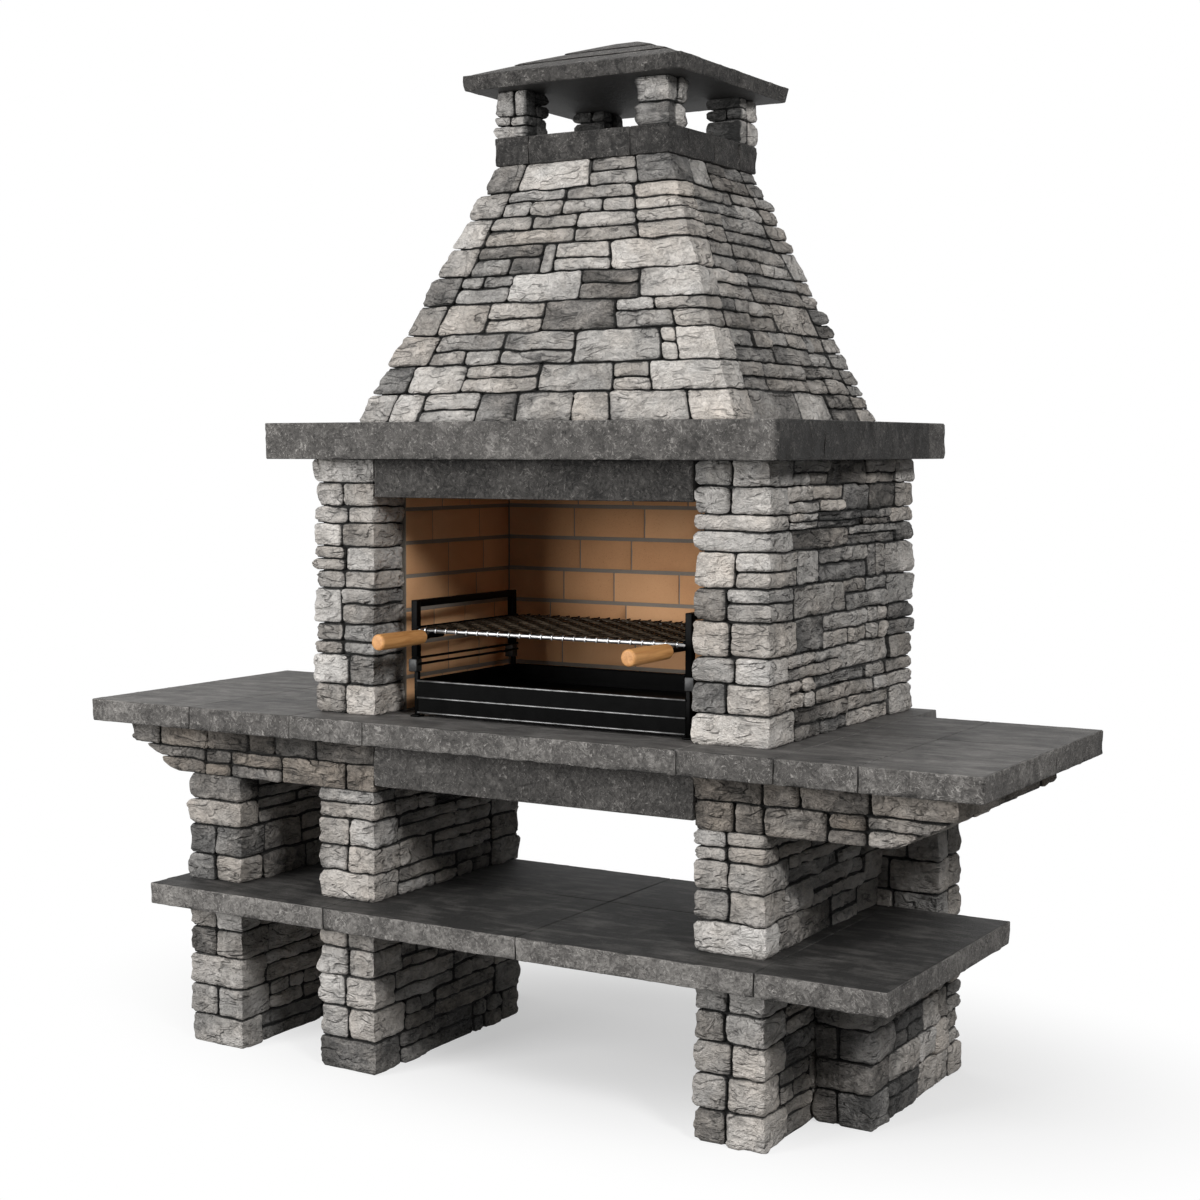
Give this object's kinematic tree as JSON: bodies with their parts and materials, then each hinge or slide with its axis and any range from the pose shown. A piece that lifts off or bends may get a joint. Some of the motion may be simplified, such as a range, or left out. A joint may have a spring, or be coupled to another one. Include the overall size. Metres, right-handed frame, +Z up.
{
  "type": "masonry barbecue",
  "caption": "Free-standing stone barbecue with side worktops, a shelf, a firebrick hearth with a sliding grate and ash drawer, and a tapering hood with a capped chimney.",
  "frame": {"origin": "on the floor, in the middle of the whole object's footprint", "axes": "+Z up, +X to the user's right, +Y from the user to the back"},
  "size_m": [2.34, 0.954, 2.44],
  "materials": {
    "split_stone": "split face, matte",
    "cast_slab": "honed cast stone",
    "firebrick": "fired, matte",
    "black_steel": "black heat paint",
    "bright_steel": "bright",
    "turned_wood": "turned, oiled"
  },
  "bodies": {
    "masonry": {"cap_roof": "cast_slab", "cap_slab": "cast_slab", "charcoal_tray": "black_steel", "chimney_posts": "split_stone", "column_left": "split_stone", "column_right": "split_stone", "corbel_left": "split_stone", "corbel_right": "split_stone", "firebox_lintel": "cast_slab", "firebrick_back": "firebrick", "firebrick_left": "firebrick", "firebrick_right": "firebrick", "flue_collar": "cast_slab", "hearth_beam_front": "cast_slab", "hearth_beam_rear": "cast_slab", "hearth_pad_left": "cast_slab", "hearth_pad_right": "cast_slab", "hearth_slab": "cast_slab", "hood_front": "split_stone", "hood_left": "split_stone", "hood_rear": "split_stone", "hood_right": "split_stone", "mantel_front": "cast_slab", "mantel_left_slab": "cast_slab", "mantel_rear": "cast_slab", "mantel_right_slab": "cast_slab", "pier_inner_left_lower": "split_stone", "pier_inner_left_upper": "split_stone", "pier_inner_right_lower": "split_stone", "pier_inner_right_upper": "split_stone", "pier_outer_left_lower": "split_stone", "pier_outer_left_upper": "split_stone", "post_sleeves": "black_steel", "rear_pier_left": "split_stone", "rear_pier_right": "split_stone", "rear_wall": "split_stone", "shelf_centre_slab": "cast_slab", "shelf_left_slab": "cast_slab", "shelf_right_slab": "cast_slab", "side_frame_left": "black_steel", "side_frame_right": "black_steel", "side_pier_right": "split_stone", "side_wall_left": "split_stone", "side_wall_right": "split_stone", "stand_left": "black_steel", "stand_right": "black_steel", "tray_front_rims": "bright_steel", "worktop_left_slab": "cast_slab", "worktop_right_inner_slab": "cast_slab", "worktop_right_outer_slab": "cast_slab"},
    "grate": {"grate_frame": "bright_steel", "grate_long_wires": "black_steel", "grate_cross_wires": "black_steel", "handle_tang_left": "black_steel", "handle_tang_right": "black_steel", "handle_left": "turned_wood", "handle_right": "turned_wood"},
    "drawer": {"ash_drawer": "black_steel", "drawer_lip": "bright_steel"}
  },
  "joints": [
    {"name": "grate_slide", "type": "slide", "parent": "masonry", "child": "grate", "axis": [0, -1, 0], "range_m": [0, 0.38]},
    {"name": "drawer_slide", "type": "slide", "parent": "masonry", "child": "drawer", "axis": [0, -1, 0], "range_m": [0, 0.36]}
  ]
}
